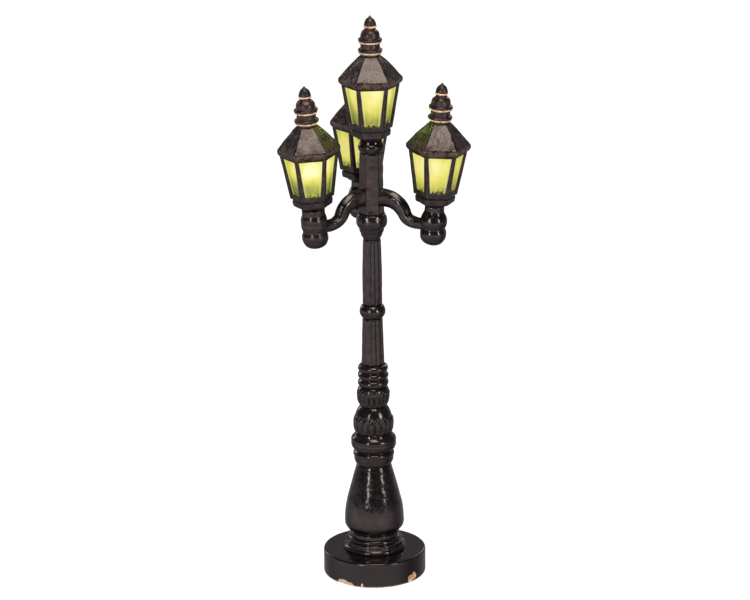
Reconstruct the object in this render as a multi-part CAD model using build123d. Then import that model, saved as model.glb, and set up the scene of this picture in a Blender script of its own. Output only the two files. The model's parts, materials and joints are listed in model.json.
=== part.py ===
from build123d import *
import os
from math import cos, pi, radians, sin

# Miniature street lamp post with four lanterns. Millimetres, +Z up, origin at the middle of the foot's
# underside. The front is -Y: one arm points straight back and two point forward to the left and right.

# ---- Driving dimensions ----
OVERALL_HEIGHT = 150.0
FOOT_RADIUS = 13.45
FOOT_HEIGHT = 6.75
TUBE_RADIUS = 0.9
TUBE_BORE_RADIUS = 0.7

# Lanterns, measured from the eave along the lantern's own axis
EAVE_RADIUS = 8.1
FINIAL_RISE = 16.5
EAVE_HEIGHT_TOP = OVERALL_HEIGHT - FINIAL_RISE
EAVE_HEIGHT_ARM = 118.1
ARM_REACH = 19.0
FRONT_LANTERN_LEAN = 3.6
BACK_LANTERN_LEAN = 0.5
ARM_DIRECTIONS = {"left": 210, "right": 330, "back": 94.5}

LIP_TOP = 0.55
LIP_BOTTOM = -0.4
CAGE_TOP = -1.2
PANE_TOP = -1.65
SILL = -11.4
CAGE_FOOT = -12.6
TIER_STEP = -14.5
TIER_BOTTOM = -15.7
SOCKET_BOTTOM = -26.1
ARM_JOINT = -20.8
CAGE_TOP_RADIUS = 7.5
CAGE_FOOT_RADIUS = 5.6
CAGE_WALL = 0.75
BAR_HALF_WIDTH_TOP = 0.75
BAR_HALF_WIDTH_FOOT = 1.0
GLASS_THICKNESS = 0.4
TIER_RADIUS = 5.25
NECK_RADIUS = 2.5
ROOF_TOP = 6.3
ROOF_TOP_RADIUS = 2.6
LED_RADIUS = 1.5
LED_BASE = -10.9

# Column and arms
COLUMN_RADIUS = 3.15
COLUMN_FOOT = 98.3
COLUMN_TOP = EAVE_HEIGHT_TOP - 18.9
ARM_HEIGHT = 102.3
ARM_BORE_RADIUS = 0.5
ARM_BEND_RADIUS = 3.9
SPIGOT_RADIUS = 1.2
SPIGOT_DEPTH = 1.1

# Post heights, from the foot up
MOULDING_TOP = 10.4
PEAR_TOP = 30.15
COLLAR_TOP = 39.1
LOWER_BULB_TOP = 46.3
UPPER_BULB_TOP = 51.65
RINGS_TOP = 57.6
LOWER_SHAFT_TOP = 70.35
SHAFT_COLLAR_TOP = 73.85
UPPER_SHAFT_TOP = 91.6
GADROONS = 18
FLUTES = 10
FLUTE_RADIUS = 0.4

# Battery compartment in the foot
COMPARTMENT_RADIUS = 12.2
COMPARTMENT_HEIGHT = 5.7
COVER_RADIUS = 12.1
COVER_BOTTOM = 0.3
COVER_TOP = 1.15
TAB_REACH = 0.45
TAB_ANGLE = 18.0
COVER_TURN = 30.0
CELL_RADIUS = 10.0
CELL_THICKNESS = 2.5
CELL_BOTTOM = 1.55
CELL_SHIFT = 1.4
BOARD_BOTTOM = 4.45
BOARD_THICKNESS = 0.6
SCREW_X = 7.6
SCREW_Y = 7.6
SWITCH_MIDDLE = 10.3
SWITCH_TRAVEL = 1.5

# Twin leads
WIRE_RADIUS = 0.12
WIRE_PITCH = 0.3
LEAD_OFFSET = 0.42
LEAD_FLOOR = BOARD_BOTTOM + BOARD_THICKNESS + WIRE_RADIUS + 0.02
LEAD_END = 3.4

os.makedirs("parts", exist_ok=True)


# ---- Shape helpers ----
def outline(points):
    """Edges through (radius, height) points; a third number bows the edge to that point outwards."""
    edges = []
    for start, end in zip(points, points[1:]):
        a = Vector(start[0], 0, start[1])
        b = Vector(end[0], 0, end[1])
        if len(end) == 3:
            along = (b - a).normalized()
            outwards = Vector(along.Z, 0, -along.X)
            edges.append(ThreePointArc(a, (a + b) * 0.5 + outwards * end[2], b))
        else:
            edges.append(Line(a, b))
    return edges


def turned(points, bore=0.0):
    """A turned solid whose outline runs upwards through the points, with a straight bore."""
    low = Vector(bore, 0, points[0][1])
    high = Vector(bore, 0, points[-1][1])
    edges = outline(points)
    if points[-1][0] > bore:
        edges.append(Line((points[-1][0], 0, points[-1][1]), high))
    edges += [Line(high, low), Line(low, (points[0][0], 0, points[0][1]))]
    return revolve(make_face(edges), Axis.Z)


def rod(radius, bottom, top, x=0.0, y=0.0):
    """A round bar along Z."""
    height = top - bottom
    return Pos(x, y, bottom) * Cylinder(radius, height, align=(Align.CENTER, Align.CENTER, Align.MIN))


def block(x_size, y_size, bottom, top, x=0.0, y=0.0):
    """A rectangular block between two heights."""
    height = top - bottom
    return Pos(x, y, bottom) * Box(x_size, y_size, height, align=(Align.CENTER, Align.CENTER, Align.MIN))


def hexagon(radius, height, rotation=30):
    return Pos(0, 0, height) * RegularPolygon(radius, 6, rotation=rotation)


def hex_frustum(low_radius, low, high_radius, high, rotation=30):
    """A six-sided tapered block."""
    return loft([hexagon(low_radius, low, rotation), hexagon(high_radius, high, rotation)], ruled=True)


def around(shape, count, start=0.0):
    """Copies of a shape turned about the Z axis."""
    return [Rot(0, 0, start + 360.0 / count * i) * shape for i in range(count)]


def save(shape, name):
    """Write a node: one solid, or a group of separate solids."""
    solids = shape.solids()
    node = solids[0] if len(solids) == 1 else Compound(children=list(solids))
    node.label = name
    export_step(node, f"parts/{name}.step")


# ---- Foot and battery compartment ----
def base_disc():
    """Cast foot: open below for the cell, with a bayonet groove, a switch slot and the tube's seat."""
    body = turned([(FOOT_RADIUS - 0.5, 0), (FOOT_RADIUS, 0.5, 0.15), (FOOT_RADIUS, FOOT_HEIGHT - 0.4),
                   (FOOT_RADIUS - 0.4, FOOT_HEIGHT, 0.12)])
    body -= rod(COMPARTMENT_RADIUS, 0, COMPARTMENT_HEIGHT)
    groove = COMPARTMENT_RADIUS + TAB_REACH
    body -= rod(groove, 0.45, COVER_TOP + 0.05)
    for entry in around(tab(groove - 0.03, TAB_ANGLE + 3, -0.1, 0.8), 3, -COVER_TURN):
        body -= entry
    body -= rod(TUBE_RADIUS, COMPARTMENT_HEIGHT, FOOT_HEIGHT)
    body -= rod(1.6, COMPARTMENT_HEIGHT, COMPARTMENT_HEIGHT + 0.45)
    body -= block(SWITCH_TRAVEL + 2.7, 4, 2.05, 3.75, y=FOOT_RADIUS)
    for side in (-1, 1):
        body -= rod(0.45, COMPARTMENT_HEIGHT, FOOT_HEIGHT - 0.4, side * SCREW_X, SCREW_Y)
    return body


def tab(radius, angle, bottom, top):
    """A sector block centred on +X, from the cover's body out to the radius."""
    sector = rod(radius, bottom, top) - rod(COVER_RADIUS - 0.6, bottom, top)
    for side in (-1, 1):
        away = Rot(0, 0, side * (angle / 2 + 90)) * Pos(2 * radius, 0, 0)
        sector -= away * block(4 * radius, 4 * radius, bottom, top)
    sector -= block(4 * radius, 4 * radius, bottom, top, x=-2 * radius)
    return sector


def battery_cover():
    """Round cover with three bayonet tabs and a coin slot."""
    body = rod(COVER_RADIUS, COVER_BOTTOM, COVER_TOP)
    for lug in around(tab(COVER_RADIUS + TAB_REACH, TAB_ANGLE, 0.55, COVER_TOP - 0.1), 3):
        body += lug
    body -= block(9, 1.4, COVER_BOTTOM, COVER_BOTTOM + 0.45)
    return body


def cell_holder():
    """Ring with the cell's pocket, the switch's pocket, two screw bosses and three snap nubs."""
    low = CELL_BOTTOM - 0.2
    high = BOARD_BOTTOM - 0.35
    body = rod(COMPARTMENT_RADIUS - 0.15, low, high)
    body -= rod(CELL_RADIUS + 0.1, low, high, y=-CELL_SHIFT)
    body -= block(6.6, 4, low, high, y=SWITCH_MIDDLE + 0.5)
    for side in (-1, 1):
        body += rod(1.25, high, BOARD_BOTTOM, side * SCREW_X, SCREW_Y)
        body -= rod(0.5, low, BOARD_BOTTOM, side * SCREW_X, SCREW_Y)
        body -= rod(0.95, low, low + 1.0, side * SCREW_X, SCREW_Y)
    for angle in (30, 150, 270):
        nub = block(1.0, 2.2, low, CELL_BOTTOM, x=CELL_RADIUS + 0.1)
        body += Pos(0, -CELL_SHIFT, 0) * Rot(0, 0, angle) * nub & rod(COMPARTMENT_RADIUS - 0.15, low, CELL_BOTTOM)
    return body - block(0.5, 3.0, low, high, x=-CELL_RADIUS - 0.25, y=-CELL_SHIFT)


def coin_cell():
    """20 mm cell: a can with a slightly smaller cap on top."""
    top = CELL_BOTTOM + CELL_THICKNESS
    body = turned([(CELL_RADIUS - 0.2, CELL_BOTTOM), (CELL_RADIUS, CELL_BOTTOM + 0.2, 0.06),
                   (CELL_RADIUS, top - 0.3), (CELL_RADIUS - 0.3, top - 0.1, 0.05), (8.9, top - 0.1),
                   (8.8, top)])
    return Pos(0, -CELL_SHIFT, 0) * body


def circuit_board():
    """Round board over the cell, open in the middle for the leads."""
    top = BOARD_BOTTOM + BOARD_THICKNESS
    body = rod(COMPARTMENT_RADIUS - 0.3, BOARD_BOTTOM, top) - rod(2.0, BOARD_BOTTOM, top)
    for side in (-1, 1):
        body -= rod(0.5, BOARD_BOTTOM, top, side * SCREW_X, SCREW_Y)
    return body


def led_resistors():
    """Four chip resistors under the board, above the holder."""
    places = (-5.0, -3.8, 3.8, 5.0)
    return Compound(children=[block(0.9, 0.5, BOARD_BOTTOM - 0.3, BOARD_BOTTOM, x=x, y=9.3) for x in places])


def cell_contact_top():
    """Leaf spring between the board and the cell's cap."""
    gap = BOARD_BOTTOM - CELL_BOTTOM - CELL_THICKNESS
    leaf = block(1.6, 1.4, BOARD_BOTTOM - 0.12, BOARD_BOTTOM, y=-7.2)
    leaf += block(1.6, 0.15, BOARD_BOTTOM - gap, BOARD_BOTTOM, y=-6.5)
    leaf += block(1.6, 1.6, BOARD_BOTTOM - gap, BOARD_BOTTOM - gap + 0.12, y=-5.75)
    return leaf


def cell_contact_side():
    """Strip that presses on the can's rim and turns over under the board."""
    low = CELL_BOTTOM + 0.4
    strip = block(0.2, 2.4, low, BOARD_BOTTOM, x=-CELL_RADIUS - 0.1, y=-CELL_SHIFT)
    strip += block(1.1, 2.4, BOARD_BOTTOM - 0.15, BOARD_BOTTOM, x=-CELL_RADIUS + 0.35, y=-CELL_SHIFT)
    return strip


def switch_body():
    """Slide switch hanging from the board behind the cell, open towards the rear."""
    body = block(5.6, 2.2, 1.45, BOARD_BOTTOM, y=SWITCH_MIDDLE)
    return body - block(SWITCH_TRAVEL + 2.0, 1.6, 2.2, 3.6, y=SWITCH_MIDDLE + 0.7)


def switch_knob():
    """Knob of the switch, at the ON end of its travel, standing a little out of the rear wall."""
    x = -SWITCH_TRAVEL / 2
    knob = block(1.7, 3.7, 2.3, 3.5, x=x, y=SWITCH_MIDDLE + 1.85)
    for groove in (-0.5, 0, 0.5):
        knob -= block(0.16, 0.16, 2.3, 3.5, x=x + groove, y=SWITCH_MIDDLE + 3.7)
    return knob


def base_screws():
    """Two pan-head screws through the holder and the board into the foot."""
    screw = turned([(0.85, CELL_BOTTOM + 0.3), (0.85, CELL_BOTTOM + 0.8), (0.45, CELL_BOTTOM + 0.8),
                    (0.45, FOOT_HEIGHT - 0.6), (0.25, FOOT_HEIGHT - 0.45)])
    screw -= block(1.2, 0.2, CELL_BOTTOM + 0.3, CELL_BOTTOM + 0.5)
    return Compound(children=[Pos(side * SCREW_X, SCREW_Y, 0) * screw for side in (-1, 1)])


# ---- Post ----
def gadrooned(body, high, low, radius):
    """Cut narrow grooves between the leaves that stand around a bulb."""
    cutter = Pos(radius + 0.12, 0, low) * Cylinder(0.26, high - low, align=(Align.CENTER, Align.CENTER, Align.MIN))
    for cut in around(cutter, GADROONS):
        body -= cut
    return body


def fluted(points):
    """A tapered shaft with round-bottomed flutes along its whole length."""
    body = turned(points, TUBE_RADIUS)
    path = Line((points[0][0] + 0.15, 0, points[0][1]), (points[1][0] + 0.15, 0, points[1][1]))
    start = Plane(path @ 0, z_dir=path % 0)
    flute = sweep(start * Circle(FLUTE_RADIUS), path)
    for cut in around(flute, FLUTES, 180 / FLUTES):
        body -= cut
    return body


def post_castings():
    """The castings threaded on the tube, from the foot to the hub."""
    return {
        "base_moulding": turned([
            (7.95, FOOT_HEIGHT), (7.8, 8.0, 0.3), (7.6, 8.1), (7.6, 9.2), (6.8, 9.3),
            (6.5, MOULDING_TOP, 0.25)], TUBE_RADIUS),
        "pear_pedestal": turned([
            (6.5, MOULDING_TOP), (6.5, 11.6), (6.1, 11.85), (7.74, 14.6, 0.5), (6.95, 20.9, 0.3),
            (4.4, PEAR_TOP, 0.1)], TUBE_RADIUS),
        "pedestal_collar": turned([
            (4.45, PEAR_TOP), (4.85, 33.95, 0.5), (4.75, COLLAR_TOP, 0.98)], TUBE_RADIUS),
        "lower_bulb": gadrooned(turned([
            (4.75, COLLAR_TOP), (5.15, 41.3, 0.1), (4.7, 43.8, 0.1), (3.5, LOWER_BULB_TOP, 0.03)], TUBE_RADIUS),
            LOWER_BULB_TOP - 3.0, COLLAR_TOP + 0.2, 5.15),
        "upper_bulb": gadrooned(turned([
            (3.5, LOWER_BULB_TOP), (4.14, 49.2, 0.2), (3.57, UPPER_BULB_TOP, 0.22)], TUBE_RADIUS),
            UPPER_BULB_TOP - 1.2, LOWER_BULB_TOP + 1.2, 4.14),
        "triple_ring": turned([
            (3.45, UPPER_BULB_TOP), (3.45, 53.7, 0.5), (3.45, 55.65, 0.5), (3.1, RINGS_TOP, 0.6)], TUBE_RADIUS),
        "lower_shaft": fluted([(2.92, RINGS_TOP), (2.58, LOWER_SHAFT_TOP)]),
        "shaft_collar": turned([
            (2.6, LOWER_SHAFT_TOP), (2.6, SHAFT_COLLAR_TOP, 0.75)], TUBE_RADIUS),
        "upper_shaft": fluted([(2.52, SHAFT_COLLAR_TOP), (2.28, UPPER_SHAFT_TOP)]),
        "hub": turned([
            (2.35, UPPER_SHAFT_TOP), (2.7, 93.2, 0.25), (3.05, 94.4, 0.2), (3.35, 94.6),
            (COLUMN_RADIUS + 0.25, COLUMN_FOOT, 0.7)], TUBE_RADIUS),
    }


def column_blank():
    """Outer shape of the six-sided column, with its flared foot."""
    foot = hex_frustum(COLUMN_RADIUS + 0.3, COLUMN_FOOT, COLUMN_RADIUS, COLUMN_FOOT + 3.5, 0)
    return foot + hex_frustum(COLUMN_RADIUS, COLUMN_FOOT + 3.5, COLUMN_RADIUS - 0.05, COLUMN_TOP, 0)


def upper_column():
    body = column_blank() - rod(TUBE_RADIUS, COLUMN_FOOT, COLUMN_TOP)
    for direction in ARM_DIRECTIONS.values():
        body -= column_spigot(direction)
        body -= Rot(0, 0, direction) * arm_bore()
    return body


# ---- Arms ----
def arm_end():
    """Where an arm's centre line meets its lantern's axis: distance from the column's axis, height."""
    lean = radians(FRONT_LANTERN_LEAN)
    return ARM_REACH + ARM_JOINT * sin(lean), EAVE_HEIGHT_ARM + ARM_JOINT * cos(lean)


def lantern_lean(direction):
    return BACK_LANTERN_LEAN if direction == ARM_DIRECTIONS["back"] else FRONT_LANTERN_LEAN


def lantern_place(direction):
    """Location of a lantern's eave; arm lanterns lean outwards a little on the ends of their arms."""
    if direction is None:
        return Pos(0, 0, EAVE_HEIGHT_TOP) * Rot(0, 0, 90)
    reach, height = arm_end()
    stance = Pos(reach, 0, height) * Rot(0, lantern_lean(direction), 0) * Pos(0, 0, -ARM_JOINT)
    return Rot(0, 0, direction) * stance


def arm_points():
    """Corners of the arm's centre line in its own vertical plane, from the column's axis outwards."""
    reach, height = arm_end()
    return [(0, 0, ARM_HEIGHT), (7.7, 0, ARM_HEIGHT - 0.1), (10.6, 0, 96.95), (reach, 0, height)]


def arm_path():
    return FilletPolyline(*arm_points(), radius=ARM_BEND_RADIUS)


def arm_solid():
    """Eight-sided arm, lofted along its centre line: tall at the column and even at the lantern."""
    path = Wire(arm_path().edges())
    octagon = [radians(22.5 + 45 * corner) for corner in range(8)]
    sections = []
    for step in range(9):
        share = 0.06 + 0.94 * step / 8
        plane = Plane(path @ share, z_dir=path % share, x_dir=(0, 1, 0))
        tall = 2.6 - 0.75 * share
        wide = 1.8 + 0.05 * share
        corners = [(wide * cos(turn), tall * sin(turn)) for turn in octagon]
        sections.append(plane * Polygon(*corners, align=None))
    return loft(sections)


def side_spigot(start, end, direction, radius=SPIGOT_RADIUS):
    """Round spigot along one straight end of the arm's centre line, in the arm's direction."""
    path = Line(start, end)
    return Rot(0, 0, direction) * sweep(Plane(path @ 0, z_dir=path % 0) * Circle(radius), path)


def arm_bore():
    path = arm_path()
    start = Plane(path @ 0, z_dir=path % 0)
    return sweep(start * Circle(ARM_BORE_RADIUS), path)


def column_spigot(direction):
    """Where an arm plugs into the column."""
    points = arm_points()
    face = COLUMN_RADIUS * cos(radians(30))
    start = Vector(face - SPIGOT_DEPTH - 0.4, 0, ARM_HEIGHT)
    return side_spigot(start, Vector(face + 1.0, 0, ARM_HEIGHT), direction)


def socket_spigot(direction):
    """Where an arm plugs into its lantern's socket."""
    end = Vector(*arm_points()[3])
    inner = Vector(*arm_points()[2])
    along = (end - inner).normalized()
    return side_spigot(end - along * 4.2, end - along * 1.2, direction)


def arm(direction):
    body = Rot(0, 0, direction) * arm_solid()
    body -= column_blank() + rod(COLUMN_RADIUS + 0.9, COLUMN_FOOT - 5, COLUMN_FOOT)
    body -= lantern_place(direction) * socket_blank()
    body = max(body.solids(), key=lambda solid: solid.volume)
    body = Part() + body + column_spigot(direction) + socket_spigot(direction)
    return body - Rot(0, 0, direction) * arm_bore() - rod(TUBE_RADIUS, COLUMN_FOOT, COLUMN_TOP)


# ---- Lanterns, each built about its own axis with the eave at height 0 ----
def socket_blank():
    """Beaded cup under an arm lantern."""
    return turned([
        (1.2, SOCKET_BOTTOM), (3.1, -24.3, 0.35), (3.05, -21.9, 0.35), (3.05, -21.4), (2.85, -17.6, 0.5),
        (NECK_RADIUS, TIER_BOTTOM, -0.15)])


def arm_socket(direction):
    body = lantern_place(direction) * (socket_blank() - rod(0.6, ARM_JOINT - 0.5, TIER_BOTTOM))
    body -= socket_spigot(direction)
    return body - Rot(0, 0, direction) * arm_bore()


def top_socket():
    """Neck between the column and the top lantern."""
    column_end = COLUMN_TOP - EAVE_HEIGHT_TOP
    body = turned([
        (2.9, column_end), (3.05, column_end + 0.3), (3.0, -16.6, 0.4), (NECK_RADIUS + 0.3, TIER_BOTTOM)],
        TUBE_RADIUS)
    return lantern_place(None) * body


def cage_radius(height):
    """The cage's corner radius at a height."""
    share = (height - CAGE_FOOT) / (CAGE_TOP - CAGE_FOOT)
    return CAGE_FOOT_RADIUS + share * (CAGE_TOP_RADIUS - CAGE_FOOT_RADIUS)


def cage_shell(inset, low, high):
    """The cage's tapered six-sided block, with its sides moved in by the inset."""
    cut = inset / cos(radians(30))
    return hex_frustum(cage_radius(low) - cut, low, cage_radius(high) - cut, high)


def window(turn):
    """Opening between two corner bars, cut through one side of the cage."""
    low = cage_radius(SILL) / 2 - BAR_HALF_WIDTH_FOOT
    high = cage_radius(PANE_TOP) / 2 - BAR_HALF_WIDTH_TOP
    outline = Polyline((-low, SILL), (low, SILL), (high, PANE_TOP), (-high, PANE_TOP), close=True)
    side = Plane(origin=(3.0, 0, 0), x_dir=(0, 1, 0), z_dir=(1, 0, 0))
    return Rot(0, 0, turn) * extrude(side * make_face(outline), 6)


def lantern_frame(has_seat):
    """Cage with six corner bars on a stepped foot; arm lanterns have a seat for the lamp."""
    body = cage_shell(0, CAGE_FOOT, CAGE_TOP) - cage_shell(CAGE_WALL, CAGE_FOOT, CAGE_TOP)
    for k in range(6):
        body -= window(60 * k)
    body += hex_frustum(TIER_RADIUS, TIER_STEP, TIER_RADIUS + 0.1, CAGE_FOOT)
    body += hex_frustum(NECK_RADIUS + 0.3, TIER_BOTTOM, TIER_RADIUS, TIER_STEP)
    if has_seat:
        body += rod(1.6, CAGE_FOOT, LED_BASE)
        return body - rod(0.6, TIER_BOTTOM, LED_BASE)
    return body - rod(TUBE_RADIUS, TIER_BOTTOM, CAGE_FOOT)


def glazing():
    """Six flat panes standing just behind the bars."""
    low = CAGE_FOOT + 0.02
    high = CAGE_TOP - 0.02
    ring = cage_shell(CAGE_WALL, low, high) - cage_shell(CAGE_WALL + GLASS_THICKNESS, low, high)
    for cut in around(block(20, 0.06, low, high, x=10), 6, 30):
        ring -= cut
    return ring


def roof():
    """Six-sided roof with a thick eave, hollow underneath, and a round seat for the finial."""
    body = hex_frustum(EAVE_RADIUS, LIP_BOTTOM, EAVE_RADIUS, LIP_TOP)
    body += hex_frustum(EAVE_RADIUS, LIP_TOP, ROOF_TOP_RADIUS, ROOF_TOP)
    body += hex_frustum(CAGE_TOP_RADIUS + 0.1, CAGE_TOP, EAVE_RADIUS, LIP_BOTTOM)
    body -= hex_frustum(CAGE_TOP_RADIUS - 1.5, CAGE_TOP, CAGE_TOP_RADIUS - 1.5, 0)
    body -= hex_frustum(CAGE_TOP_RADIUS - 1.5, 0, ROOF_TOP_RADIUS - 1.5, ROOF_TOP - 1.1)
    return body - rod(0.7, ROOF_TOP - 1.5, ROOF_TOP)


def finial():
    """Turned finial: two flanges, a drum, a dome and a pointed bud, on a short peg."""
    return turned([
        (0.7, ROOF_TOP - 0.9), (0.7, ROOF_TOP), (2.4, ROOF_TOP), (2.4, 7.25), (2.85, 7.25), (2.85, 7.9, 0.2),
        (2.35, 8.2), (2.35, 9.95), (2.75, 9.95), (2.7, 10.6, 0.2), (2.4, 10.85), (1.3, 13.0, 0.5),
        (1.25, 13.95), (1.4, 13.95), (1.35, 14.95, 0.2), (0.35, 16.05, 0.15), (0.1, FINIAL_RISE)])


def finial_rings():
    """Three copper wire rings: one under each flange and one under the bud."""
    seats = [(2.4, 7.0), (2.35, 9.7), (1.3, 13.7)]
    wire = 0.22
    return Compound(children=[Pos(0, 0, height) * Torus(radius + wire, wire) for radius, height in seats])


def led():
    """Small round lamp with a flange."""
    return turned([
        (LED_RADIUS + 0.35, LED_BASE), (LED_RADIUS + 0.35, LED_BASE + 0.6), (LED_RADIUS, LED_BASE + 0.6),
        (LED_RADIUS, LED_BASE + 3.2), (0.1, LED_BASE + 4.6, 0.42)])


# ---- Tube, nut and leads ----
def tie_tube():
    """Brass tube with a flared foot and three slots for the arms' leads."""
    low = COMPARTMENT_HEIGHT + 0.1
    high = EAVE_HEIGHT_TOP + CAGE_FOOT + 1.1
    body = rod(TUBE_RADIUS, low, high) + rod(1.5, low, low + 0.35)
    body -= rod(TUBE_BORE_RADIUS, low, high)
    for slot in around(block(2, 0.8, ARM_HEIGHT - 0.9, ARM_HEIGHT + 0.5, x=1.0), 3, 90):
        body -= slot
    return body


def tie_nut():
    low = EAVE_HEIGHT_TOP + CAGE_FOOT
    nut = extrude(Pos(0, 0, low) * RegularPolygon(1.8, 6), 0.9)
    return nut - rod(TUBE_RADIUS, low, low + 0.9)


def twin_lead(corners, radii, direction):
    """Two insulated wires side by side along one route in a vertical plane."""
    route = FilletPolyline(*[(x, 0, z) for x, z in corners], radius=radii)
    start = Plane(route @ 0, z_dir=route % 0)
    wire = sweep(start * Circle(WIRE_RADIUS), route)
    return Rot(0, 0, direction) * Compound(children=[Pos(0, side * WIRE_PITCH / 2, 0) * wire for side in (-1, 1)])


def leads(direction):
    """From the board up the tube and, for an arm lantern, out through the arm to its lamp."""
    if direction is None:
        corners = [(LEAD_END, LEAD_FLOOR), (0, LEAD_FLOOR), (0, EAVE_HEIGHT_TOP + LED_BASE)]
        return twin_lead(corners, 0.5, 270)
    lean = radians(lantern_lean(direction))
    reach, height = arm_end()
    rise = LED_BASE - ARM_JOINT
    lamp = (reach + rise * sin(lean), height + rise * cos(lean))
    bends = [(x, z) for x, y, z in arm_points()[1:]]
    corners = [(LEAD_END, LEAD_FLOOR), (LEAD_OFFSET, LEAD_FLOOR), (LEAD_OFFSET, ARM_HEIGHT), *bends, lamp]
    return twin_lead(corners, [0.5, 0.6, ARM_BEND_RADIUS, ARM_BEND_RADIUS, 0.9], direction)


# ---- Write the nodes ----
for build in (base_disc, battery_cover, cell_holder, coin_cell, circuit_board, led_resistors, cell_contact_top,
              cell_contact_side, switch_body, switch_knob, base_screws, tie_tube, tie_nut):
    save(build(), build.__name__)

for name, casting in post_castings().items():
    save(casting, name)
save(upper_column(), "upper_column")

for side, direction in {"top": None, **ARM_DIRECTIONS}.items():
    place = lantern_place(direction)
    if direction is None:
        save(top_socket(), "socket_top")
    else:
        save(arm(direction), f"arm_{side}")
        save(arm_socket(direction), f"socket_{side}")
    save(place * lantern_frame(direction is not None), f"frame_{side}")
    for build in (glazing, roof, finial, finial_rings, led):
        save(place * build(), f"{build.__name__}_{side}")
    save(leads(direction), f"leads_{side}")
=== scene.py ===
import json
import math

import bmesh
import bpy
from mathutils import Matrix, Vector, noise
from mathutils.geometry import interpolate_bezier


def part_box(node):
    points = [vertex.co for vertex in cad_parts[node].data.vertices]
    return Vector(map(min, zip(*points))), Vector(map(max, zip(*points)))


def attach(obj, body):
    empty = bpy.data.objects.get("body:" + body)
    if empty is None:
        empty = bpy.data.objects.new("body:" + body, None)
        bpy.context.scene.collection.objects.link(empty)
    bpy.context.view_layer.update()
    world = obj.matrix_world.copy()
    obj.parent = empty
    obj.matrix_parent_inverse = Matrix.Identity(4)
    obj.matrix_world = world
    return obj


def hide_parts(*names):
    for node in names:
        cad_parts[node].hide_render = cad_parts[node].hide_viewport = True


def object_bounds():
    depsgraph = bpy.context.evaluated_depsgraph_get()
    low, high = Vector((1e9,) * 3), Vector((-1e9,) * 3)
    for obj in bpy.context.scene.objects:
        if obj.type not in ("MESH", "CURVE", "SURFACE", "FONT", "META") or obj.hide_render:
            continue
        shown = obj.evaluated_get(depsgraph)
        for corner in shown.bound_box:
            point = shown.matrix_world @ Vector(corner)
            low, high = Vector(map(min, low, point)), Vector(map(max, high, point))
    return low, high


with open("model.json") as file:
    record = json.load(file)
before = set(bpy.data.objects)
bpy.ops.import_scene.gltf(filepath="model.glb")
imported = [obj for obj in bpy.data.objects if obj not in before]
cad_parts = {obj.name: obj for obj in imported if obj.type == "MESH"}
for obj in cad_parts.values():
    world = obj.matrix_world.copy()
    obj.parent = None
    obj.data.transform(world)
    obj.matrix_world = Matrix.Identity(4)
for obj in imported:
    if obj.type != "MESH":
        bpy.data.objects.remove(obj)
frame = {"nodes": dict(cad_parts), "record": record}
cad_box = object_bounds()
nodes = frame["nodes"]
slot_of = {part["node"]: part["material_slot"] for part in frame["record"]["subparts"]}

# The castings' lumps are drawn from this seed
noise.seed_set(1)

# Lengths are in millimetres until a mesh is made. The front is -Y, and the post stands on Z.
MM = 0.001

# ---- Sizes that the frame's boxes don't give ----
BORE = 0.9

# The foot and its bayonet cover. The switch's slot has a width, a lower and an upper edge
FOOT_WALL_INNER = 12.2
GROOVE_RADIUS = 12.65
GROOVE_LOW = 0.45
GROOVE_HIGH = 1.2
BAY_HEIGHT = 5.7
SWITCH_SLOT = (4.2, 2.05, 3.75)
COVER_RADIUS = 12.1
COVER_TURN = 30.0
TAB_ANGLE = 21.0

# The lanterns, in their own frame, whose origin is on the eave
ROOF_RISE = 6.3
EAVE_RADIUS = 8.1
CAGE_TOP = -1.2
PANE_TOP = -1.6
SILL = -11.3
CAGE_FOOT = -12.6
SOCKET_FOOT = -26.1
CAGE_TOP_RADIUS = 7.5
CAGE_FOOT_RADIUS = 5.6
CAGE_WALL = 0.75
BAR_TOP = 0.75
BAR_FOOT = 1.0
LANTERNS = ("top", "left", "right", "back")

# The camera's bearing from the front, in degrees
CAMERA_BEARING = -4.02


# ---- Outlines and sections ----
def arc_point(start, end, bow, share):
    """A point on the circular arc from start to end that bulges outwards by the bow."""
    chord = end - start
    along = chord.normalized()
    out = Vector((along.y, -along.x)) * math.copysign(1, bow)
    half = chord.length / 2
    radius = (half * half + bow * bow) / (2 * abs(bow))
    reach = 2 * math.atan(abs(bow) / half)
    angle = (2 * share - 1) * reach
    middle = (start + end) / 2 + out * (abs(bow) - radius)
    return middle + along * radius * math.sin(angle) + out * radius * math.cos(angle)


def outline(*corners, spacing=0.15, passes=2):
    """Close points through (radius, height) corners, which are eased as thick paint eases them.
    A third number bows the stretch up to its corner outwards."""
    points = [Vector(corners[0][:2])]
    for before, corner in zip(corners, corners[1:]):
        start = Vector(before[:2])
        end = Vector(corner[:2])
        steps = max(2, round((end - start).length / spacing))
        for step in range(1, steps + 1):
            share = step / steps
            if len(corner) == 3:
                points.append(arc_point(start, end, corner[2], share))
            else:
                points.append(start.lerp(end, share))
    for _ in range(passes):
        inner = [(a + 2 * b + c) / 4 for a, b, c in zip(points, points[1:], points[2:])]
        points = [points[0], *inner, points[-1]]
    return points


def raised(points, height):
    return [Vector((point.x, point.y + height)) for point in points]


def circle(count):
    """Points on a circle of radius 1."""
    return [(math.cos(math.tau * k / count), math.sin(math.tau * k / count)) for k in range(count)]


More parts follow.
